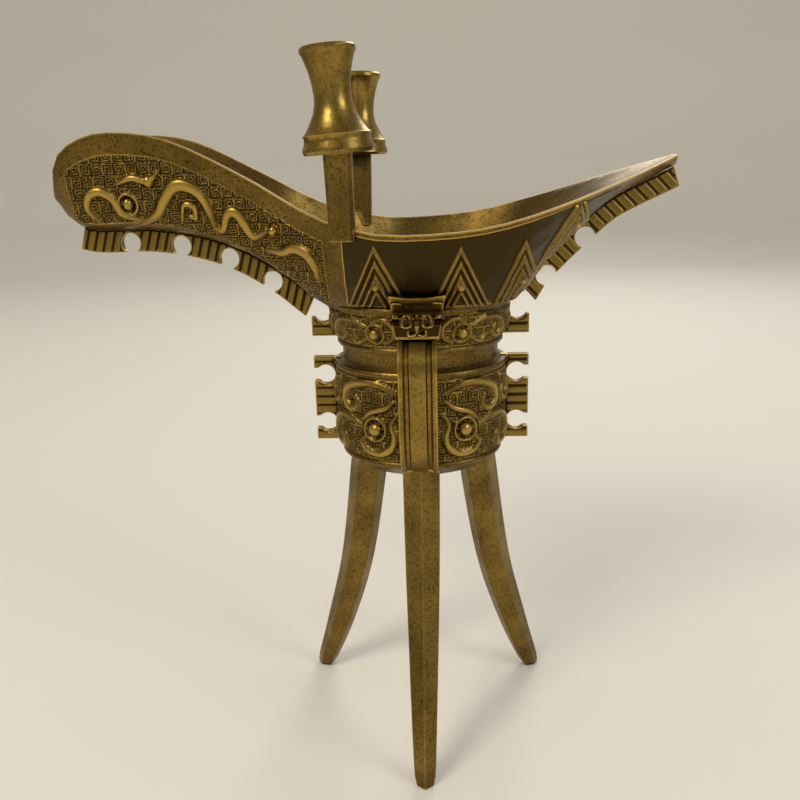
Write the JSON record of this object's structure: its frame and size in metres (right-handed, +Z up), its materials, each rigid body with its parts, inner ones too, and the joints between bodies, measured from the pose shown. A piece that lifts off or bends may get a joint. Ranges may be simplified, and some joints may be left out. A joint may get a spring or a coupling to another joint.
{
  "type": "bronze wine cup (jue)",
  "caption": "Tripod ritual wine cup with a channel spout, pointed tail, capped rim posts, ox-headed strap handle and hooked flanges.",
  "frame": {"origin": "on the floor, under the middle of the whole cup's bounding box", "axes": "+Z up, the spout points along -X and the tail along +X, the handle faces -Y"},
  "size_m": [0.1254, 0.0618, 0.1413],
  "materials": {
    "patinated_brass": "antiqued, dark in the recesses",
    "worn_brass": "antiqued, speckled brown and gold",
    "rubbed_brass": "antiqued, edges rubbed bright"
  },
  "bodies": {
    "root": {"cup_bowl": "patinated_brass", "front_leg": "worn_brass", "spout_side_leg": "worn_brass", "tail_side_leg": "worn_brass", "handle_strap": "rubbed_brass", "handle_ox_head": "rubbed_brass", "front_post": "worn_brass", "back_post": "worn_brass", "front_post_cap": "rubbed_brass", "back_post_cap": "rubbed_brass", "spout_flange": "patinated_brass", "tail_flange": "patinated_brass", "spout_side_neck_flange": "patinated_brass", "tail_side_neck_flange": "patinated_brass", "back_neck_flange": "patinated_brass", "spout_side_belly_flange": "patinated_brass", "tail_side_belly_flange": "patinated_brass", "back_belly_flange": "patinated_brass"}
  },
  "joints": []
}
